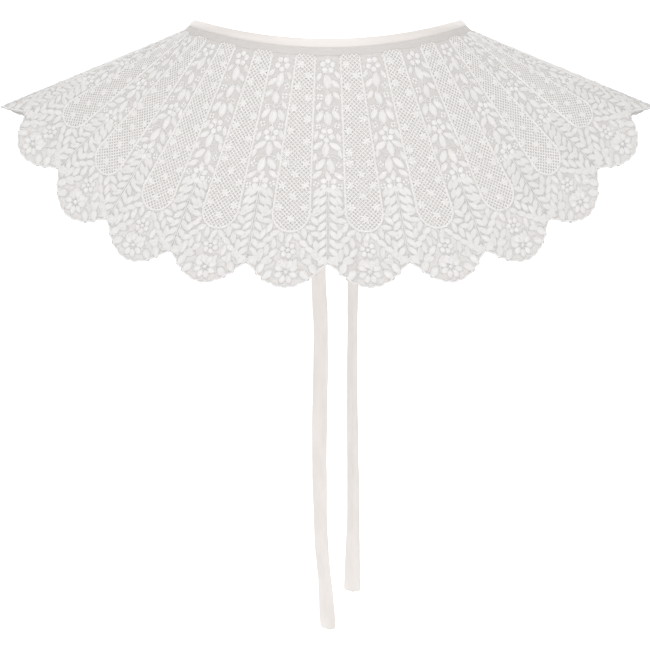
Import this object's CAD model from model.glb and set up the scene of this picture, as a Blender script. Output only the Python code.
import math

import bmesh
import bpy
import numpy as np
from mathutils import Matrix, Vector


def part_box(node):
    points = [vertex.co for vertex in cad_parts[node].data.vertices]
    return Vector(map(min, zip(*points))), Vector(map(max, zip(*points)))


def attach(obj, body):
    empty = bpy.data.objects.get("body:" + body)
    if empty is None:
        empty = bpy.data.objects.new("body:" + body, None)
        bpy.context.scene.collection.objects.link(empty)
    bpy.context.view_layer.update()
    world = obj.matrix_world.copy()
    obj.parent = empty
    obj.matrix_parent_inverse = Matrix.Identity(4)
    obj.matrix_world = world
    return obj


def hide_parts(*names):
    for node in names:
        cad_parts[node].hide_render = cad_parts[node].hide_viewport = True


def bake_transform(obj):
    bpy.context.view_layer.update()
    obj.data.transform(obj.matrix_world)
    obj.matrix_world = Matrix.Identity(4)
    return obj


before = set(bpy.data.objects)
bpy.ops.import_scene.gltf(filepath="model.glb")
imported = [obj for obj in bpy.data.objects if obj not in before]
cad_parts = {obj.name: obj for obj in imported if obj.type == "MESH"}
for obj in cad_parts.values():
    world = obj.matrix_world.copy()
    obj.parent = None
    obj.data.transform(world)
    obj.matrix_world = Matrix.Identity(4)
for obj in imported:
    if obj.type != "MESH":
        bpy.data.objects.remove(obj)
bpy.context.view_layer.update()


# ---- Camera and studio ----------------------------------------------------------------
# The collar hangs in a white sweep, seen from straight in front, level with the neck and
# from far enough away that the shoulders stay nearly flat to the eye.
EYE = Vector((-0.0016, -1.5, -0.030))
AIM_Z = -0.1827
VIEW_WIDTH = 0.390
SENSOR_MM = 36
SWEEP_SIZE, SWEEP_LEVEL, SWEEP_HEIGHT, SWEEP_BEND = 8, -1.4, 5, 1.2


def look_at(thing, aim):
    """Turns a camera or lamp to face a place."""
    thing.rotation_euler = (Vector(aim) - thing.location).to_track_quat("-Z", "Y").to_euler()


camera = bpy.data.objects.new("camera", bpy.data.cameras.new("camera"))
camera.location = EYE
camera.data.sensor_width = SENSOR_MM
camera.data.lens = SENSOR_MM * -EYE.y / VIEW_WIDTH
camera.data.clip_end = 20
look_at(camera, (EYE.x, 0, AIM_Z))
bpy.context.collection.objects.link(camera)
bpy.context.scene.camera = camera
bpy.context.scene.view_settings.view_transform = "Standard"

bpy.ops.mesh.primitive_plane_add(size=SWEEP_SIZE, location=(0, 0, SWEEP_LEVEL))
sweep = bpy.context.object
sweep.name = "sweep"
bpy.ops.object.mode_set(mode="EDIT")
bpy.ops.mesh.select_all(action="DESELECT")
bpy.ops.mesh.select_mode(type="EDGE")
sweep_mesh = bmesh.from_edit_mesh(sweep.data)
for edge in sweep_mesh.edges:
    edge.select = all(v.co.y > 0 for v in edge.verts)
bmesh.update_edit_mesh(sweep.data)
bpy.ops.mesh.extrude_region_move(TRANSFORM_OT_translate={"value": (0, 0, SWEEP_HEIGHT)})
bpy.ops.mesh.select_mode(type="VERT")
bpy.ops.object.mode_set(mode="OBJECT")
bevel = sweep.modifiers.new("bend", "BEVEL")
bevel.width = SWEEP_BEND
bevel.segments = 12
bpy.ops.object.modifier_apply(modifier="bend")
bpy.ops.object.shade_smooth()

paper = bpy.data.materials.new("white_paper")
paper.use_nodes = True
paper_shader = paper.node_tree.nodes["Principled BSDF"]
paper_shader.inputs["Base Color"].default_value = (0.6, 0.6, 0.6, 1)
paper_shader.inputs["Roughness"].default_value = 0.9
paper_shader.inputs["Emission Color"].default_value = (1, 1, 1, 1)
paper_shader.inputs["Emission Strength"].default_value = 0.85
sweep.data.materials.append(paper)

world = bpy.data.worlds.new("studio")
bpy.context.scene.world = world
world.use_nodes = True
world.node_tree.nodes["Background"].inputs["Color"].default_value = (1, 1, 1, 1)
world.node_tree.nodes["Background"].inputs["Strength"].default_value = 0.60

for name, place, size, power in (
    ("overhead_softbox", (-0.2, -0.9, 1.7), 2.0, 17.5),
    ("front_softbox", (0.2, -1.9, 0.4), 1.4, 7),
):
    lamp = bpy.data.objects.new(name, bpy.data.lights.new(name, "AREA"))
    lamp.location = place
    lamp.data.size = size
    lamp.data.energy = power
    look_at(lamp, (0, 0, -0.12))
    bpy.context.collection.objects.link(lamp)


# ---- Ties -----------------------------------------------------------------------------
# Two satin tapes, folded lengthwise and pressed, tacked to the ends of the neck band. Each
# lies on the lace behind the wearer and then hangs free below the hem. One is cut straight
# and one on the slant.
TIE_WIDTH = 0.010
TIE_THICK = 0.0012
CREASE_OFFSET, CREASE_DEPTH, CREASE_HALF = 0.0008, 0.0005, 0.0009
FOLD_TILT = 0.20
CREASE_SWAY = 0.0006
RIGHT_TIE = [(-6.2, 69.3, -16.4), (-6.4, 70.8, -22), (-6.6, 75.8, -41), (-6.4, 82.1, -65),
    (-6.2, 88.2, -90), (-6, 93.6, -112), (-5.8, 96.8, -125), (-5.8, 98.6, -137),
    (-5.8, 98.6, -165), (-4.4, 98.6, -190), (-4.2, 98.6, -215), (-5, 98.6, -242),
    (-5.2, 98.6, -268), (-5, 98.6, -296), (-4.5, 98.6, -324), (-3.4, 98.6, -344),
    (-1.5, 98.6, -363), (0.6, 98.6, -392)]
LEFT_TIE = [(7.4, 69.3, -16.4), (7.8, 70.8, -22), (9.4, 75.8, -41), (11.2, 82, -65),
    (13, 88, -90), (14.6, 93.4, -112), (15.3, 96.6, -125), (15.6, 98.6, -137),
    (15.7, 98.6, -165), (15.4, 98.6, -190), (15.3, 98.6, -220), (15.4, 98.6, -250),
    (15.8, 98.6, -280), (16.3, 98.6, -310), (16, 98.6, -340), (16, 98.6, -367)]
MM = 0.001


def smooth_route(points, per_span=6):
    """A Catmull-Rom curve through the points, as an array of places."""
    p = np.array(points, float) * MM
    p = np.vstack([2 * p[0] - p[1], p, 2 * p[-1] - p[-2]])
    t = np.linspace(0, 1, per_span, endpoint=False)[:, None]
    spans = []
    for a, b, c, d in zip(p[:-3], p[1:-2], p[2:-1], p[3:]):
        spans.append(0.5 * (2 * b + (c - a) * t + (2 * a - 5 * b + 4 * c - d) * t ** 2
            + (3 * b - a - 3 * c + d) * t ** 3))
    return np.vstack(spans + [p[-2:-1]])


def mesh_piece(name, verts, faces, uvs=None):
    """A new object from places, faces and one UV for each vertex."""
    mesh = bpy.data.meshes.new(name)
    mesh.from_pydata(np.asarray(verts, float).tolist(), [], [tuple(f) for f in faces])
    if uvs is not None:
        layer = mesh.uv_layers.new(name="UVMap")
        corner = np.zeros(len(mesh.loops), np.int32)
        mesh.loops.foreach_get("vertex_index", corner)
        layer.data.foreach_set("uv", np.asarray(uvs, np.float32)[corner].ravel())
    mesh.validate()
    mesh.polygons.foreach_set("use_smooth", [True] * len(mesh.polygons))
    piece = bpy.data.objects.new(name, mesh)
    bpy.context.collection.objects.link(piece)
    return piece


def ring_faces(rings, around, closed=True):
    """The walls between like rings of places and, if the rings are closed, a cap at each
    end."""
    n = around
    faces = [(i * n + j, i * n + (j + 1) % n, (i + 1) * n + (j + 1) % n, (i + 1) * n + j)
        for i in range(rings - 1) for j in range(n if closed else n - 1)]
    if closed:
        faces += [tuple(range(n))[::-1], tuple(range((rings - 1) * n, rings * n))]
    return faces


def use_only(piece):
    """Selects one piece and makes it active."""
    bpy.ops.object.select_all(action="DESELECT")
    piece.select_set(True)
    bpy.context.view_layer.objects.active = piece


def apply_modifier(piece, kind, **settings):
    """Adds one modifier and applies it."""
    modifier = piece.modifiers.new(kind, kind)
    for key, value in settings.items():
        setattr(modifier, key, value)
    use_only(piece)
    bpy.ops.object.modifier_apply(modifier=kind)


def crisp(piece):
    """Smooth shading that keeps cut edges sharp."""
    use_only(piece)
    bpy.ops.object.shade_smooth_by_angle(angle=math.radians(50))


def tie_mesh(name, points, facing, widths, slant):
    """A folded tape: two layers joined along one edge, with a crease beside the middle.
    facing turns the tape about its length, in degrees, and widths are shares of its width,
    each at even steps of its route. slant is the slope of its cut end."""
    route = smooth_route(points)
    count = len(route)
    run = np.concatenate([[0], np.cumsum(np.linalg.norm(np.diff(route, axis=0), axis=1))])
    turn = np.radians(np.interp(run, np.linspace(0, run[-1], len(facing)), facing))
    spread = np.interp(run, np.linspace(0, run[-1], len(widths)), widths)
    around = np.linspace(0, 2 * np.pi, 24, endpoint=False)
    verts, uvs = [], []
    for i, place in enumerate(route):
        along = route[min(i + 1, count - 1)] - route[max(i - 1, 0)]
        along /= np.linalg.norm(along)
        side = np.cross(along, (0, 1, 0))
        side /= np.linalg.norm(side)
        out = np.cross(side, along)
        wide = side * math.cos(turn[i]) + out * math.sin(turn[i])
        deep = np.cross(wide, along)
        ripple = spread[i] + 0.02 * math.sin(run[i] * 160) + 0.015 * math.sin(run[i] * 410 + 1)
        for a in around:
            x = math.cos(a) * TIE_WIDTH / 2 * ripple
            away = x - CREASE_OFFSET - CREASE_SWAY * math.sin(run[i] * 35)
            crease = CREASE_DEPTH * math.exp(-(away / CREASE_HALF) ** 2)
            tilt = FOLD_TILT * (x - CREASE_OFFSET) * (1 if away > 0 else -1)
            z = math.sin(a) * TIE_THICK / 2 * (1 - 0.25 * abs(math.cos(a)))
            z -= (math.copysign(crease, math.sin(a)) if abs(math.sin(a)) > 0.05 else 0) + tilt
            cut = slant * x * (run[i] / run[-1]) ** 12
            verts.append(place + wide * x + deep * z + along * cut)
            uvs.append((a / (2 * np.pi), run[i] / TIE_WIDTH))
    piece = mesh_piece(name, verts, ring_faces(count, len(around)), uvs)
    apply_modifier(piece, "SUBSURF", levels=1, render_levels=1)
    crisp(piece)
    return piece, route, float(run[-1])


def shader_of(name, **settings):
    """A new node material with its own shader sockets set."""
    material = bpy.data.materials.new(name)
    material.use_nodes = True
    shader = material.node_tree.nodes["Principled BSDF"]
    for key, value in settings.items():
        shader.inputs[key.replace("_", " ")].default_value = value
    return material, material.node_tree, shader


def link_nodes(tree, *pairs):
    """Links each pair of an output and an input socket."""
    for a, b in pairs:
        tree.links.new(a, b)


def satin_material(name, pale, deep, across, along):
    """Satin woven tape: fine floats across, slow folds of light along, a soft sheen."""
    material, tree, shader = shader_of(name, Roughness=0.42, Sheen_Weight=0.35,
        Sheen_Roughness=0.4)
    nodes = tree.nodes
    uv = nodes.new("ShaderNodeUVMap")
    uv.uv_map = "UVMap"
    stretch = nodes.new("ShaderNodeMapping")
    stretch.inputs["Scale"].default_value = (across, along, 1)
    folds = nodes.new("ShaderNodeTexNoise")
    folds.inputs["Scale"].default_value = 1.0
    folds.inputs["Detail"].default_value = 3.0
    colour = nodes.new("ShaderNodeValToRGB")
    colour.color_ramp.elements[0].position = 0.3
    colour.color_ramp.elements[0].color = (*deep, 1)
    colour.color_ramp.elements[1].position = 0.7
    colour.color_ramp.elements[1].color = (*pale, 1)
    weave_size = nodes.new("ShaderNodeMapping")
    weave_size.inputs["Scale"].default_value = (across * 12, along * 30, 1)
    weave = nodes.new("ShaderNodeTexNoise")
    weave.inputs["Scale"].default_value = 3.0
    bump = nodes.new("ShaderNodeBump")
    bump.inputs["Strength"].default_value = 0.18
    bump.inputs["Distance"].default_value = 0.0002
    link_nodes(tree, (uv.outputs[0], stretch.inputs[0]), (stretch.outputs[0], folds.inputs[0]),
        (folds.outputs[0], colour.inputs[0]), (colour.outputs[0], shader.inputs["Base Color"]),
        (uv.outputs[0], weave_size.inputs[0]), (weave_size.outputs[0], weave.inputs[0]),
        (weave.outputs[0], bump.inputs["Height"]), (bump.outputs[0], shader.inputs["Normal"]))
    return material


tape = satin_material("tie_satin", (0.86, 0.822, 0.795), (0.785, 0.745, 0.715), 3.0, 0.35)
for side, points, facing, widths, slant in (
    ("right", RIGHT_TIE, (0, 0, 0, 0, 8, -10, 8, -6, 6, 10, -10),
        (1, 1, 1, 1, 0.98, 0.96, 1, 0.98, 0.9, 0.88, 1.05), 0.2),
    ("left", LEFT_TIE, (0, 0, 0, 18, 36, 44, 40, 37, 34, 22, 4),
        (1, 1, 1, 0.98, 0.96, 0.94, 0.94, 0.96, 0.98, 0.96, 1.15), 0.12),
):
    tie, route, length = tie_mesh(side + "_tie", points, facing, widths, slant)
    tie.data.materials.append(tape)
    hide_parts("tie_upper_" + side, "tie_lower_" + side)
    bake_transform(tie)


# ---- Net ground -----------------------------------------------------------------------
# The lace starts as one flared sheet of fine machine net, seamed to the neck band, and all
# the thread work lies on it. A place on it is a gore number g, counted from the centre
# front, and a distance v down from the seam.
# RIDGE is the gore on the shoulder. The seam and the hem each have a half width, reaches to
# front and back, and how low they lie there. A hem pitch is one scallop's width.
RIDGE = 5.5
HALF_GORES = 10
SEAM_HALF = 0.086
SEAM_FRONT, SEAM_BACK = 0.090, 0.068
SEAM_DROP_FRONT, SEAM_DROP_BACK = 0.015, 0.014
BAND_HEIGHT = 0.010
LEAN_SIDE = math.radians(47)
HEM_HALF = 0.195
HEM_FRONT, HEM_BACK = 0.117, 0.096
HEM_LOW_SIDE, HEM_LOW_FRONT, HEM_LOW_BACK = 0.0515, 0.150, 0.133
HEM_SWELL, HEM_DIP = 1.15, 3.6
PITCH_FRONT, PITCH_BACK = 0.0485, 0.052
SCALLOP_RISE, SCALLOP_POWER = 0.016, 1.9
DEPTH = 0.134
NET_THICK = 0.0003
GROUND_END = 0.035
OUTWARD_STEP = 0.15
OPEN_GORE, OPEN_LEAN, OPEN_HALF = 1, math.radians(32), 0.017


def quarter(s, gores, pitch):
    """The turn round a quarter of the hem after s gores: even steps of one pitch, with the
    rest of the turn taken up beside the shoulder."""
    rate = pitch / HEM_HALF
    return rate * s + (math.pi / 2 - rate * gores) * (s / gores) ** 8


def seam_turn(g):
    """The turn round the neck seam at a gore, from 0 at the front to half a turn behind."""
    a = np.abs(g)
    front = math.pi / 2 * a / RIDGE
    return np.where(a <= RIDGE, front, math.pi / 2 * (1 + (a - RIDGE) / (HALF_GORES - RIDGE)))


def hem_turn(g):
    """The same turn at the hem."""
    a = np.minimum(np.abs(g), HALF_GORES)
    return np.where(a <= RIDGE, quarter(np.minimum(a, RIDGE), RIDGE, PITCH_FRONT),
        math.pi - quarter(np.minimum(HALF_GORES - a, HALF_GORES - RIDGE),
            HALF_GORES - RIDGE, PITCH_BACK))


def seam_place(g):
    """A place on the neck seam."""
    g = np.asarray(g, float)
    u = seam_turn(g)
    front = np.cos(u) >= 0
    return np.stack([np.sign(g) * SEAM_HALF * np.sin(u),
        -np.where(front, SEAM_FRONT, SEAM_BACK) * np.cos(u),
        -BAND_HEIGHT * math.cos(LEAN_SIDE)
        - np.where(front, SEAM_DROP_FRONT, SEAM_DROP_BACK) * np.cos(u) ** 2], -1)


def tip_place(g):
    """A place on the line that joins the scallops' tips."""
    g = np.asarray(g, float)
    u = hem_turn(g)
    front = np.cos(u) >= 0
    reach = np.where(front, -HEM_FRONT, HEM_BACK)
    low = np.where(front, HEM_LOW_FRONT, HEM_LOW_BACK) - HEM_LOW_SIDE
    return np.stack([np.sign(g) * HEM_HALF * np.sin(u), reach * np.abs(np.cos(u)) ** HEM_SWELL,
        -HEM_LOW_SIDE - low * (1 - np.abs(np.sin(u)) ** HEM_DIP)], -1)


def depth_at(g):
    """The lace's depth from the seam to the tips' line at a gore."""
    return np.linalg.norm(tip_place(g) - seam_place(g), axis=-1)


def lace_place(g, v):
    """A place on the cloth."""
    top, low = seam_place(g), tip_place(g)
    return top + (low - top) * (np.asarray(v) / np.linalg.norm(low - top, axis=-1))[..., None]


def lace_out(g, v):
    """The cloth's outward direction; its step across keeps it smooth at the shoulder."""
    across = lace_place(g + OUTWARD_STEP, v) - lace_place(g - OUTWARD_STEP, v)
    out = np.cross(across, seam_place(g) - tip_place(g))
    return out / np.linalg.norm(out, axis=-1, keepdims=True)


def net_material():
    """Fine net: see-through, with a small mesh of paler threads."""
    material, tree, shader = shader_of("fine_net", Roughness=0.85, Alpha=0.70,
        Sheen_Weight=0.2)
    nodes = tree.nodes
    place = nodes.new("ShaderNodeTexCoord")
    cells = nodes.new("ShaderNodeTexVoronoi")
    cells.feature = "DISTANCE_TO_EDGE"
    cells.inputs["Scale"].default_value = 900
    cells.inputs["Randomness"].default_value = 0.25
    colour = nodes.new("ShaderNodeValToRGB")
    colour.color_ramp.elements[0].position = 0.05
    colour.color_ramp.elements[0].color = (0.76, 0.737, 0.721, 1)
    colour.color_ramp.elements[1].position = 0.22
    colour.color_ramp.elements[1].color = (0.67, 0.65, 0.635, 1)
    link_nodes(tree, (place.outputs["Object"], cells.inputs["Vector"]),
        (cells.outputs["Distance"], colour.inputs[0]),
        (colour.outputs[0], shader.inputs["Base Color"]))
    return material


def open_line(sign):
    """Two places either side of the line that a side swings open about. They lean to the
    back, so that the back edge counts as part of the side."""
    g = np.array([float(sign * OPEN_GORE)])
    middle = lace_place(g, DEPTH / 2)[0]
    across = np.array([sign * math.cos(OPEN_LEAN), math.sin(OPEN_LEAN), 0])
    down = (tip_place(g) - seam_place(g))[0]
    down /= np.linalg.norm(down)
    across -= down * across.dot(down)
    across *= OPEN_HALF / np.linalg.norm(across)
    return tuple(middle - across), tuple(middle + across)


net = net_material()
lace_sides = (("left", 1), ("right", -1))
ground_of, cut_area, worked_on = {}, {}, {"left": [], "right": []}
for side, sign in lace_sides:
    g = np.linspace(0, HALF_GORES - GROUND_END, 241) * sign
    from_middle = np.abs(2 * (np.abs(g) % 1 - 0.5))
    reach = depth_at(g) - SCALLOP_RISE * from_middle ** SCALLOP_POWER
    rows = [lace_place(g, t * reach) for t in np.linspace(0, 1, 41)]
    cols = len(g)
    faces = [(i * cols + j, (i + 1) * cols + j, (i + 1) * cols + j + 1, i * cols + j + 1)[::sign]
        for i in range(len(rows) - 1) for j in range(cols - 1)]
    ground = mesh_piece("net_ground_" + side, np.vstack(rows), faces)
    cut_area[side] = round(sum(p.area for p in ground.data.polygons), 4)
    apply_modifier(ground, "SOLIDIFY", thickness=NET_THICK, offset=0)
    crisp(ground)
    ground.data.materials.append(net)
    ground_of[side] = ground
    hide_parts("net_" + side, "net_front")
    start, end = open_line(sign)
    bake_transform(ground)


# ---- Tongues --------------------------------------------------------------------------
# Each of the twenty tongues is an open lattice of cotton threads worked on the slant, darned
# with small six-petalled rosettes: left and right in turn, and lower down in pairs and
# singly. Tongues, cords, sprigs and border are made flat and then laid on the cloth.
BORDER = 0.032
GORE_TOP, GORE_LOW = 0.0252, 0.0485
TONGUE_TOP, TONGUE_LOW = 0.0048, 0.0100
DRAWN_IN, WORK_END = 0.06, 0.005
LATTICE, LATTICE_REACH = 0.00176, 0.80
LATTICE_TUCK = 0.0002
THREAD, THREAD_FLATTENED, THREAD_LIFT = 0.00092, 0.6, 0.0003
ROSETTE_ROWS, ROSETTE_PAIRS_FROM = 15, 9
ROSETTE_TOP, ROSETTE_STEP, ROSETTE_MARGIN = 0.0055, 0.0064, 0.0026
ROSETTE, ROSETTE_EYE, ROSETTE_LIFT = 0.0025, 0.0016, 0.0005
SHOULDER, CROWN, SHOULDER_HEIGHT, CROWN_RISE, GROOVE_DROP = 0.13, 0.16, 0.8, 0.2, 0.45
POINTED = 0.35
SMALL_TALL, EYE_TALL, PETAL_TALL, LEAF_TALL, HEM_TALL = 0.0003, 0.0004, 0.0006, 0.0007, 0.0008
RAISED = 0.0002
BEND_REACH = 0.6


def gore_width(y):
    """A gore's width in flat work, which grows down the cloth."""
    return GORE_TOP + (GORE_LOW - GORE_TOP) * np.clip(y / DEPTH, -0.1, 1.1)


def lay(flat, line):
    """Lays flat work on the cloth. x runs across from gore line `line`, y runs down from the
    seam on a gore of the front's depth, and z stands off the cloth. The last half gore is
    drawn in a little, which leaves the gap at the back."""
    flat = np.asarray(flat, float)
    x, y, z = flat[:, 0], flat[:, 1], flat[:, 2]
    g = line + x / gore_width(y)
    last = np.maximum(np.abs(g) - (HALF_GORES - 0.5), 0)
    g = np.clip(g - np.sign(g) * last * DRAWN_IN, WORK_END - HALF_GORES, HALF_GORES - WORK_END)
    full = depth_at(g)
    tongue = DEPTH - BORDER
    v = np.where(y < tongue, y * (full - BORDER) / tongue, full - (DEPTH - y))
    return lace_place(g, v) + lace_out(g, v) * z[:, None]


def tongue_half(y, grow=0.0):
    """Half a tongue's width in flat work; it tapers to the top and ends round."""
    y = np.asarray(y)
    start = DEPTH - BORDER - TONGUE_LOW
    taper = TONGUE_TOP + (TONGUE_LOW - TONGUE_TOP) * y / start + grow
    r = TONGUE_LOW + grow
    return np.where(y <= start, taper, r * np.sqrt(np.clip(1 - ((y - start) / r) ** 2, 0, 1)))


def read_mesh(piece):
    """A piece's places and faces; the piece is removed."""
    mesh = piece.data
    verts = np.zeros(len(mesh.vertices) * 3)
    mesh.vertices.foreach_get("co", verts)
    verts = verts.reshape(-1, 3)
    faces = [tuple(p.vertices) for p in mesh.polygons]
    bpy.data.objects.remove(piece)
    return verts, faces


def tongue_lattice():
    """The lattice of one tongue, laid flat."""
    reach = (DEPTH - BORDER) * LATTICE_REACH
    cells = int(2 * reach / LATTICE)
    bpy.ops.mesh.primitive_grid_add(x_subdivisions=cells, y_subdivisions=cells,
        size=2 * reach, location=(0, 0, 0), rotation=(0, 0, math.pi / 4))
    lattice = bpy.context.object
    bpy.ops.object.transform_apply(location=True, rotation=True, scale=True)
    bpy.ops.object.mode_set(mode="EDIT")
    bpy.ops.transform.translate(value=(0, (DEPTH - BORDER) / 2, 0))
    bpy.ops.mesh.select_all(action="DESELECT")
    bpy.ops.mesh.select_mode(type="FACE")
    shape = bmesh.from_edit_mesh(lattice.data)
    for face in shape.faces:
        c = face.calc_center_median()
        inside = 0 < c.y < DEPTH - BORDER and abs(c.x) < float(tongue_half(c.y, LATTICE_TUCK))
        face.select = not inside
    bmesh.update_edit_mesh(lattice.data)
    bpy.ops.mesh.delete(type="FACE")
    bpy.ops.object.mode_set(mode="OBJECT")
    apply_modifier(lattice, "WIREFRAME", thickness=THREAD, use_boundary=True,
        use_even_offset=False)
    return read_mesh(lattice)


def raised_petal(points, groove):
    """One satin-stitched petal or leaf, a unit long and a unit wide, lying along x. Its rim
    is on the cloth, its crown stands up, and a groove follows the middle of a leaf."""
    bpy.ops.mesh.primitive_circle_add(vertices=points, radius=0.5, fill_type="NGON")
    petal = bpy.context.object
    bpy.ops.object.mode_set(mode="EDIT")
    bpy.ops.mesh.select_all(action="SELECT")
    bpy.ops.mesh.inset(thickness=SHOULDER)
    bpy.ops.transform.translate(value=(0, 0, SHOULDER_HEIGHT))
    bpy.ops.mesh.inset(thickness=CROWN)
    bpy.ops.transform.translate(value=(0, 0, -GROOVE_DROP if groove else CROWN_RISE))
    if groove:
        bpy.ops.transform.resize(value=(1.25, 0.25, 1))
    bpy.ops.object.mode_set(mode="OBJECT")
    verts, faces = read_mesh(petal)
    tip = 1 + POINTED * np.abs(2 * verts[:, 0]) ** 4
    verts[:, 0] *= np.where(verts[:, 2] < 0.1, tip, 1)
    return verts, faces


def stamp(pattern, places, lift=0.0):
    """Copies of a flat pattern. A place is (x, y, turn, length, width, height)."""
    verts, faces = pattern
    all_verts, all_faces, all_uvs = [], [], []
    for n, (x, y, turn, long, wide, tall) in enumerate(places):
        c, s = math.cos(turn), math.sin(turn)
        px, py = verts[:, 0] * long, verts[:, 1] * wide
        all_verts.append(np.stack([x + px * c - py * s, y + px * s + py * c,
            verts[:, 2] * tall + lift], -1))
        all_faces += [tuple(v + n * len(verts) for v in f) for f in faces]
        all_uvs.append(np.stack([px / MM, py / MM], -1))
    return np.vstack(all_verts), all_faces, np.vstack(all_uvs)


def join_flat(*parts):
    """One set of places, faces and UVs from several."""
    verts, faces, uvs, base = [], [], [], 0
    for v, f, u in parts:
        verts.append(v)
        uvs.append(u)
        faces += [tuple(i + base for i in face) for face in f]
        base += len(v)
    return np.vstack(verts), faces, np.vstack(uvs)


def flower(x, y, radius, petals, turn, tall, fat=0.95):
    """Petal places round a centre. At a fatness of 1 the petals just meet."""
    step = 2 * math.pi / petals
    ring, long = radius * 0.62, radius * 0.68
    return [(x + math.cos(turn + k * step) * ring, y + math.sin(turn + k * step) * ring,
        turn + k * step, long, step * ring * fat, tall) for k in range(petals)]


def thread_material(name, pale, deep, stitches, rim=0.0):
    """Cotton embroidery thread: fine satin stitches across each shape, slightly uneven, and
    darker by the share `rim` where they dive into the cloth at the shape's edge."""
    material, tree, shader = shader_of(name, Roughness=0.62, Sheen_Weight=0.25,
        Sheen_Roughness=0.5)
    nodes = tree.nodes
    uv = nodes.new("ShaderNodeUVMap")
    uv.uv_map = "UVMap"
    stitch = nodes.new("ShaderNodeTexWave")
    stitch.bands_direction = "X"
    stitch.inputs["Scale"].default_value = stitches
    stitch.inputs["Distortion"].default_value = 0.8
    stitch.inputs["Detail"].default_value = 1.0
    colour = nodes.new("ShaderNodeValToRGB")
    colour.color_ramp.elements[0].color = (*deep, 1)
    colour.color_ramp.elements[1].position = 0.55
    colour.color_ramp.elements[1].color = (*pale, 1)
    rise = nodes.new("ShaderNodeAttribute")
    rise.attribute_name = "rise"
    edge = nodes.new("ShaderNodeMapRange")
    edge.inputs["To Min"].default_value = 1 - rim
    edge.inputs["To Max"].default_value = 1.0
    shaded = nodes.new("ShaderNodeVectorMath")
    shaded.operation = "SCALE"
    bump = nodes.new("ShaderNodeBump")
    bump.inputs["Strength"].default_value = 0.5
    bump.inputs["Distance"].default_value = 0.0002
    link_nodes(tree, (uv.outputs[0], stitch.inputs["Vector"]),
        (stitch.outputs["Color"], colour.inputs[0]), (colour.outputs[0], shaded.inputs[0]),
        (rise.outputs["Fac"], edge.inputs["Value"]), (edge.outputs[0], shaded.inputs["Scale"]),
        (shaded.outputs[0], shader.inputs["Base Color"]),
        (stitch.outputs["Color"], bump.inputs["Height"]),
        (bump.outputs[0], shader.inputs["Normal"]))
    return material


def body_of_gore(gore):
    """The body that carries a gore."""
    return "front" if abs(gore) < OPEN_GORE else "left_side" if gore > 0 else "right_side"


def hang(piece, gore):
    """Fixes a piece to its body, or bends it with the cloth beside an opening line."""
    if abs(abs(gore) - OPEN_GORE) < BEND_REACH:
        start, end = open_line(math.copysign(1, gore))
        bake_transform(piece)
    else:
        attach(piece, body_of_gore(gore))


def laid_piece(name, flat_work, line, material):
    """Flat work laid on the cloth at a gore line, as one piece. Flat work's y runs down the
    cloth, so its faces are turned over. Each place keeps its rise, from 0 on the cloth to 1,
    which the thread's colour follows."""
    verts, faces, uvs = flat_work
    piece = mesh_piece(name, lay(verts, line), [face[::-1] for face in faces], uvs)
    rise = piece.data.attributes.new("rise", "FLOAT", "POINT")
    rise.data.foreach_set("value", np.clip(verts[:, 2] / RAISED, 0, 1).astype(np.float32))
    piece.data.materials.append(material)
    worked_on["left" if line > 0 else "right"].append(piece)
    return piece


bpy.ops.object.select_all(action="DESELECT")
petal = raised_petal(8, False)
leaf = raised_petal(10, True)
lattice_verts, lattice_faces = tongue_lattice()
lattice_verts[:, 2] = lattice_verts[:, 2] * THREAD_FLATTENED + THREAD_LIFT
lattice_flat = (lattice_verts, lattice_faces, lattice_verts[:, :2] / MM)
rosettes = []
for n in range(ROSETTE_ROWS):
    y = ROSETTE_TOP + n * ROSETTE_STEP
    room = max(0.0, float(tongue_half(y)) - ROSETTE_MARGIN)
    if n < ROSETTE_PAIRS_FROM:
        across = [room if n % 2 else -room]
    else:
        across = [-room, room] if n % 2 else [0]
    for x in across:
        rosettes += flower(x, y, ROSETTE, 6, n * 0.5, SMALL_TALL)
        rosettes.append((x, y, 0, ROSETTE_EYE, ROSETTE_EYE, EYE_TALL))
tongue_flat = join_flat(lattice_flat, stamp(petal, rosettes, ROSETTE_LIFT))
tongue_thread = thread_material("tongue_thread", (0.975, 0.957, 0.944),
    (0.925, 0.908, 0.894), 2.2)
for k in range(1, 2 * HALF_GORES + 1):
    gore = k - HALF_GORES - 0.5
    tongue = laid_piece(f"tongue_lattice_{k:02d}", tongue_flat, gore, tongue_thread)
    crisp(tongue)
    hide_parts(f"tongue_{k:02d}")
    hang(tongue, gore)


# ---- Outline cords --------------------------------------------------------------------
# A firm cotton cord is couched round each tongue, down one side, round the end and up the
# other. It covers the cut edge of the lattice.
CORD, CORD_TUCK = 0.0014, 0.0002


def flat_tube(path, width, tall, sides=8):
    """A raised rib along a flat path, rounded on top, with its UV running along it."""
    path = np.asarray(path, float)
    count = len(path)
    ahead = np.gradient(path, axis=0)
    ahead /= np.linalg.norm(ahead, axis=1, keepdims=True)
    run = np.concatenate([[0], np.cumsum(np.linalg.norm(np.diff(path, axis=0), axis=1))])
    turn = np.linspace(0, 2 * np.pi, sides, endpoint=False)
    verts = np.zeros((count, sides, 3))
    verts[:, :, 0] = path[:, 0, None] - ahead[:, 1, None] * np.cos(turn) * width / 2
    verts[:, :, 1] = path[:, 1, None] + ahead[:, 0, None] * np.cos(turn) * width / 2
    verts[:, :, 2] = np.sin(turn) * tall / 2
    uvs = np.stack([np.repeat(run[:, None], sides, 1) / MM,
        np.repeat(turn[None] / np.pi, count, 0)], -1)
    return verts.reshape(-1, 3), ring_faces(count, sides), uvs.reshape(-1, 2)


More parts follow.
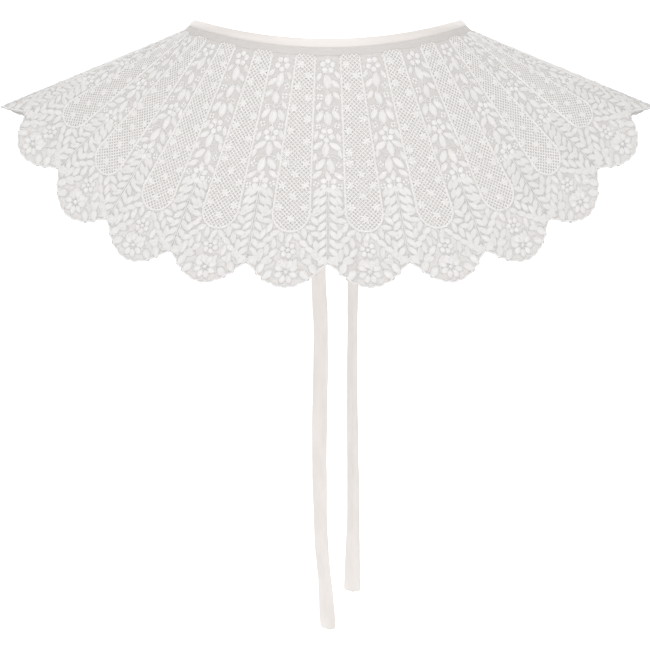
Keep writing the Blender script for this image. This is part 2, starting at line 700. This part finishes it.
round_from = DEPTH - BORDER - TONGUE_LOW
outset = CORD / 2 - CORD_TUCK
ys = np.concatenate([np.linspace(CORD_TUCK, round_from, 30),
    round_from + (TONGUE_LOW + outset) * np.sin(np.radians(np.linspace(6, 90, 12)))])
halves = np.asarray(tongue_half(ys, outset))
down = np.stack([-halves, ys], -1)
up = np.stack([halves, ys], -1)[::-1][1:]
outline_flat = flat_tube(np.vstack([down, up]), CORD, CORD * 1.15)
cord_thread = thread_material("outline_thread", (0.985, 0.97, 0.955),
    (0.92, 0.905, 0.89), 3.0)
for k in range(1, 2 * HALF_GORES + 1):
    gore = k - HALF_GORES - 0.5
    cord = laid_piece(f"outline_cord_{k:02d}", outline_flat, gore, cord_thread)
    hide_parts("outlines_" + body_of_gore(gore).replace("_side", ""))
    hang(cord, gore)


# ---- Sprigs ---------------------------------------------------------------------------
# A vine is embroidered in cotton down each net strip, in raised satin stitch: a flower
# under the band, curling tendrils, three-leafed sprigs and larger flowers.
STEM = 0.0006
STEM_STEPS = 16
SMALL_FLOWER = 3
BACK_SQUEEZE, BACK_SHIFT = 0.46, 0.0044
# Flowers are (x, y, radius, petals, turn) and leaves (x, y, lean, length, width). Places are
# in millimetres from the strip's top.
VINE_FLOWERS = [(0, 6, 4.8, 5, 0.3), (0.6, 46.5, 4.8, 5, 0.9), (-0.4, 75, 5.4, 6, 0.5),
    (4.8, 18.6, 2.0, 4, 0.2), (4.6, 24.2, 2.1, 4, 0.7), (-5.2, 41, 2.0, 4, 0.4),
    (5.4, 41.5, 1.8, 4, 0.9), (-6.2, 64, 2.0, 4, 0.1), (6.6, 75, 2.0, 4, 0.3),
    (-7.0, 76.5, 2.0, 4, 0.6), (-4.6, 30.8, 1.7, 4, 0.5)]
VINE_LEAVES = [(0.2, 15.2, 0.1, 8.0, 5.4), (-4.2, 16.6, 0.8, 6.0, 3.6),
    (-0.4, 25.6, -0.2, 7.2, 4.8), (-4.8, 23.4, 0.7, 5.4, 3.4), (0, 36.8, 0.1, 8.0, 5.4),
    (4.6, 35.6, -0.5, 7.0, 4.2), (-4.6, 34.8, 0.6, 6.6, 4.0), (-4.2, 53.2, 1.0, 7.4, 4.2),
    (1.2, 55.2, -0.1, 8.2, 4.8), (5.6, 52.6, -0.9, 6.4, 3.8), (-1.6, 64.6, 0.2, 8.6, 5.2),
    (4.2, 63.6, -0.7, 7.6, 4.6), (-6.2, 70.4, 0.9, 6.2, 3.6), (6.0, 69.6, -0.9, 6.2, 3.8),
    (5.0, 12.4, -0.5, 4.8, 3.0), (-5.4, 11.2, 0.5, 4.8, 3.0), (5.2, 29.4, -0.6, 5.2, 3.0),
    (6.6, 46.8, -0.3, 5.6, 3.2), (-6.2, 48.2, 0.3, 5.6, 3.2), (-7.0, 57.6, 0.3, 5.2, 3.0),
    (7.4, 59.4, -0.3, 5.0, 3.0), (0.2, 70.0, 0.1, 4.4, 3.4)]
VINE_STEMS = [
    [(0, 9), (1.4, 12), (0.2, 20), (-1.2, 24), (-0.6, 31), (0.2, 33)],
    [(0.2, 32), (-3.0, 29.5), (-5.8, 31), (-4.8, 33)],
    [(0.2, 32), (3.2, 30), (5.6, 31.5), (4.8, 33.5)],
    [(0, 40), (1.0, 43), (0.8, 50), (1.8, 53)],
    [(1.4, 58), (-1.0, 60), (-1.4, 62)],
    [(1.2, 59.5), (3.4, 59), (6.4, 60.5), (5.4, 62)],
    [(0.6, 60), (-3.2, 59), (-6.2, 61), (-5.4, 63)],
    [(-1.6, 68), (-0.6, 71), (-0.4, 80), (0, 90)],
]


def curve_path(points):
    """A smooth flat path through a few places given in millimetres."""
    route = smooth_route([(x, y, 0) for x, y in points], max(2, STEM_STEPS // len(points)))
    return route[:, :2]


def vine(mirror):
    """The flat work of one strip; the vine leans the other way in each second strip."""
    m = -1 if mirror else 1
    petals = []
    for x, y, radius, count, turn in VINE_FLOWERS:
        tall = SMALL_TALL if radius < SMALL_FLOWER else PETAL_TALL
        petals += flower(m * x * MM, y * MM, radius * MM, count, turn * m, tall, fat=1.1)
    leaves = [(m * x * MM, y * MM, math.pi / 2 + m * lean, long * MM, wide * MM, LEAF_TALL)
        for x, y, lean, long, wide in VINE_LEAVES]
    ribs = [flat_tube(curve_path([(m * x, y) for x, y in stem]), STEM, STEM * 1.4, sides=5)
        for stem in VINE_STEMS]
    return join_flat(stamp(petal, petals), stamp(leaf, leaves), *ribs)


sprig_thread = thread_material("sprig_thread", (0.98, 0.962, 0.95),
    (0.92, 0.904, 0.89), 2.6, rim=0.22)
vines = {mirror: vine(mirror) for mirror in (False, True)}
for line in range(-HALF_GORES, HALF_GORES + 1):
    flat_work = vines[line % 2 == 0]
    if abs(line) == HALF_GORES:
        verts, faces, uvs = flat_work
        inward = -BACK_SHIFT if line > 0 else BACK_SHIFT
        flat_work = (verts * (BACK_SQUEEZE, 1, 1) + (inward, 0, 0), faces, uvs)
    sprig = laid_piece(f"sprig_{line + HALF_GORES + 1:02d}", flat_work, line, sprig_thread)
    hang(sprig, line)


# ---- Border ---------------------------------------------------------------------------
# Below the tongues the net is covered with satin-stitched cotton: a mirrored stalk of leaves
# between two tongues, rings of leaves round each tongue's end, two flowers under it and two
# rows of leaves along the hem. A firm stitched edge, drawn into small lobes, finishes it.
LEAF = (0.0068, 0.0040, LEAF_TALL)
STALK_LEAF = (0.0068, 0.0041, LEAF_TALL)
FLANK_LEAF = (0.0064, 0.0038, LEAF_TALL)
HEM_LEAVES = 10
HEM_ROWS = [(0.0033, 0.0060, 0.2, (0.0070, 0.0052, HEM_TALL)),
    (0.0086, 0.0100, -0.6, (0.0064, 0.0040, LEAF_TALL))]
RINGS, RING_FIRST, RING_STEP, RING_SPACING, RING_LEAN = 5, 0.0042, 0.0050, 0.0041, 0.45
CLEAR_OF_GORE, CLEAR_OF_HEM = 0.0042, 0.0098
HEM_FLOWERS = [(0.1130, 0.0051, 6, 0.26), (0.1252, 0.0074, 8, 0.39)]
FLOWER_ROOM, FLOWER_EYE = 0.0058, 0.0026
OPENING_X, OPENING_Y, OPENING = 0.0082, 0.1185, 0.0024
STALK_TOP, STALK_LEAVES, STALK_STEP, STALK_INSET, STALK_LEAN = 0.0800, 9, 0.0049, 0.0032, 2.45
STALK_ABOVE, STALK_BELOW = 0.004, 0.036
FLANK_LEAVES, FLANK_STEP, FLANK_OUTSET, FLANK_LEAN = 3, 0.0050, 0.0040, 0.5
TENDRIL = [(1, 118), (3.4, 120.5), (6.2, 120), (8, 117.5)]
EDGE, EDGE_INSET, EDGE_REACH = 0.0011, 0.0006, 0.995
LOBE, LOBE_LENGTH, LOBES_FROM = 0.0007, 0.22, -0.99
SLOPE_STEP = 0.0004


def hem_y(x):
    """The scalloped hem in flat work: one round scallop for each gore."""
    share = np.abs(2 * x / GORE_LOW)
    share = np.abs((share + 1) % 2 - 1)
    return DEPTH - SCALLOP_RISE * share ** SCALLOP_POWER


def hem_frame(share, inset):
    """A place inside the hem of one scallop and the direction that points out of it."""
    x = share * GORE_LOW / 2
    y = float(hem_y(np.array(x)))
    rise = float(hem_y(np.array(x + SLOPE_STEP)) - hem_y(np.array(x - SLOPE_STEP)))
    slope = rise / (2 * SLOPE_STEP)
    out = np.array([-slope, 1.0]) / math.hypot(slope, 1)
    return np.array([x, y]) - out * inset, math.atan2(out[1], out[0])


def ring_leaves():
    """Rings of leaves that spread from the tongue's round end to the gore lines. They leave
    room for the upper flower and for an opening on each side, below it."""
    leaves = []
    centre = DEPTH - BORDER - TONGUE_LOW
    for ring in range(RINGS):
        r = TONGUE_LOW + RING_FIRST + RING_STEP * ring
        count = 2 * round(r * math.pi / RING_SPACING / 2)
        for k in range(count + 1):
            a = math.pi * k / count
            x, y = math.cos(a) * r, centre + math.sin(a) * r
            inside = abs(x) < float(gore_width(y)) / 2 - CLEAR_OF_GORE
            above_hem = y < float(hem_y(np.array(x))) - CLEAR_OF_HEM
            in_flower = math.hypot(x, y - HEM_FLOWERS[0][0]) < FLOWER_ROOM
            in_opening = math.hypot(abs(x) - OPENING_X, y - OPENING_Y) < OPENING
            if inside and above_hem and not (in_flower or in_opening):
                leaves.append((x, y, a + (RING_LEAN if (k + ring) % 2 else -RING_LEAN), *LEAF))
    return leaves


def scallop_work():
    """The flat work of one scallop. A hem row is its inset, its gap at the middle, its
    leaves' lean and their size."""
    leaves, petals = [], []
    for inset, gap, lean, size in HEM_ROWS:
        for k in range(HEM_LEAVES):
            place, out = hem_frame((2 * k + 1) / HEM_LEAVES - 1, inset)
            if abs(place[0]) > gap:
                leaves.append((*place, out + lean * (-1) ** k, *size))
    leaves += ring_leaves()
    for y, radius, count, turn in HEM_FLOWERS:
        petals += flower(0, y, radius, count, turn, LEAF_TALL, fat=1.15)
        petals.append((0, y, 0, FLOWER_EYE, FLOWER_EYE, HEM_TALL))
    ribs = []
    for side in (-1, 1):
        for n in range(STALK_LEAVES):
            y = STALK_TOP + n * STALK_STEP
            leaves.append((side * (float(gore_width(y)) / 2 - STALK_INSET), y,
                math.pi / 2 - side * STALK_LEAN, *STALK_LEAF))
        for n in range(FLANK_LEAVES):
            y = STALK_TOP + n * FLANK_STEP
            leaves.append((side * (float(tongue_half(y)) + FLANK_OUTSET), y,
                math.pi / 2 + side * FLANK_LEAN, *FLANK_LEAF))
        ribs.append(flat_tube(curve_path([(side * x, y) for x, y in TENDRIL]),
            STEM, STEM * 1.6, sides=5))
        ribs.append(flat_tube([(side * (float(gore_width(y)) / 2 - STEM), y)
            for y in np.linspace(STALK_TOP - STALK_ABOVE, STALK_TOP + STALK_BELOW, 12)],
            STEM, STEM * 1.6, sides=5))
    rim = []
    for share in np.linspace(-EDGE_REACH, EDGE_REACH, 73):
        lobe = LOBE * abs(math.sin(math.pi * (share - LOBES_FROM) / LOBE_LENGTH))
        rim.append(hem_frame(share, EDGE_INSET - lobe)[0])
    edge = flat_tube(rim, EDGE, EDGE * 1.2)
    return join_flat(stamp(leaf, leaves), stamp(petal, petals), edge, *ribs)


border_thread = thread_material("border_thread", (0.955, 0.937, 0.923),
    (0.885, 0.868, 0.854), 2.4, rim=0.35)
scallop_flat = scallop_work()
for k in range(1, 2 * HALF_GORES + 1):
    gore = k - HALF_GORES - 0.5
    border = laid_piece(f"scallop_border_{k:02d}", scallop_flat, gore, border_thread)
    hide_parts(f"scallop_{k:02d}")
    hang(border, gore)


# ---- Neck band ------------------------------------------------------------------------
# A narrow band of ribbed net is sewn along the lace's top, and a folded satin binding
# closes it. Both stand nearly upright in front and lean in over the shoulders.
BINDING_HEIGHT = 0.0052
LEAN_FRONT = math.radians(17)
BAND_END = 0.055
FOLD_POINTS, FOLD_HALF, FOLD_SWELL, FOLD_SQUARE = 16, 0.0006, 0.00025, 0.6
PLEATS, PLEAT_DEPTH = 12, 0.00012
BAND_FROM, BAND_LAP = 0.0001, 0.0004


def band_frame(g):
    """The seam, the band's upward direction and its outward one at a gore place."""
    g = np.asarray(g, float)
    seam = seam_place(g)
    lean = LEAN_FRONT + (LEAN_SIDE - LEAN_FRONT) * np.sin(seam_turn(g)) ** 2
    inward = -seam * (1, 1, 0)
    inward /= np.linalg.norm(inward, axis=-1, keepdims=True)
    rise = np.array([0, 0, 1.0])
    up = inward * np.sin(lean)[:, None] + rise * np.cos(lean)[:, None]
    out = -inward * np.cos(lean)[:, None] + rise * np.sin(lean)[:, None]
    return seam, up, out


def band_piece(name, sign, outline, material, closed):
    """A strip round half the neck. outline gives (height, outward) places of its section.
    It starts a hair to its own side of the centre front."""
    gs = np.linspace(0, HALF_GORES - BAND_END, 161) * sign
    gs[0] = sign * 1e-6
    seam, up, out = band_frame(gs)
    verts, uvs = [], []
    run = np.concatenate([[0], np.cumsum(np.linalg.norm(np.diff(seam, axis=0), axis=1))])
    for i in range(len(gs)):
        for j, (h, o) in enumerate(outline):
            verts.append(seam[i] + up[i] * h + out[i] * o)
            uvs.append((run[i] / MM, j / len(outline)))
    faces = [face[::-sign] for face in ring_faces(len(gs), len(outline), closed)]
    piece = mesh_piece(name, verts, faces, uvs)
    piece.data.materials.append(material)
    return piece


def ribbed_net_material():
    """Fine ribbed net: see-through, with darker ribs that run up the band."""
    material, tree, shader = shader_of("ribbed_net", Roughness=0.8, Alpha=0.80,
        Sheen_Weight=0.2)
    nodes = tree.nodes
    uv = nodes.new("ShaderNodeUVMap")
    uv.uv_map = "UVMap"
    ribs = nodes.new("ShaderNodeTexWave")
    ribs.inputs["Scale"].default_value = 1.2
    colour = nodes.new("ShaderNodeValToRGB")
    colour.color_ramp.elements[0].color = (0.66, 0.636, 0.617, 1)
    colour.color_ramp.elements[1].color = (0.81, 0.78, 0.76, 1)
    link_nodes(tree, (uv.outputs[0], ribs.inputs["Vector"]),
        (ribs.outputs["Color"], colour.inputs[0]),
        (colour.outputs[0], shader.inputs["Base Color"]))
    return material


binding_low = BAND_HEIGHT - BINDING_HEIGHT
fold = []
for k in range(FOLD_POINTS):
    a = 2 * math.pi * k / FOLD_POINTS
    h = binding_low + BINDING_HEIGHT / 2 * (1 - math.cos(a))
    puff = FOLD_HALF + FOLD_SWELL * math.sin(math.pi * (h - binding_low) / BINDING_HEIGHT)
    fold.append((h, puff * math.copysign(abs(math.sin(a)) ** FOLD_SQUARE, math.sin(a))))
band_net = [(BAND_FROM + (binding_low + BAND_LAP) * k / PLEATS, PLEAT_DEPTH * (-1) ** k)
    for k in range(PLEATS + 1)]
satin = satin_material("binding_satin", (0.83, 0.785, 0.755), (0.77, 0.725, 0.695), 0.02, 4.0)
ribbed = ribbed_net_material()
for side, sign in lace_sides:
    binding = band_piece("binding_" + side + "_half", sign, fold, satin, True)
    crisp(binding)
    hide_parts("binding_" + side, "binding_front")
    net_band = band_piece("net_band_" + side + "_half", sign, band_net, ribbed, False)
    apply_modifier(net_band, "SOLIDIFY", thickness=NET_THICK, offset=0)
    crisp(net_band)
    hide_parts("net_band_" + side, "net_band_front")
    start, end = open_line(sign)
    for piece in (binding, net_band):
        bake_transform(piece)


# ---- Tie tabs -------------------------------------------------------------------------
# Each tie is tacked to the outside of the binding, at the end of the neck band, with a
# small bar of satin stitches in cotton thread.
tab_thread = thread_material("tab_thread", (0.93, 0.91, 0.89), (0.86, 0.84, 0.82), 3.0)
for side in ("left", "right"):
    low, high = (Vector(corner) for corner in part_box("tie_tab_" + side))
    bpy.ops.mesh.primitive_cube_add(size=1, location=(low + high) / 2)
    tab = bpy.context.object
    tab.name = "tie_tab_" + side + "_stitched"
    tab.scale = high - low
    bpy.ops.object.transform_apply(location=True, rotation=True, scale=True)
    apply_modifier(tab, "BEVEL", width=0.0003, segments=3)
    tab.data.materials.append(tab_thread)
    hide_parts("tie_tab_" + side)
    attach(tab, side + "_side")
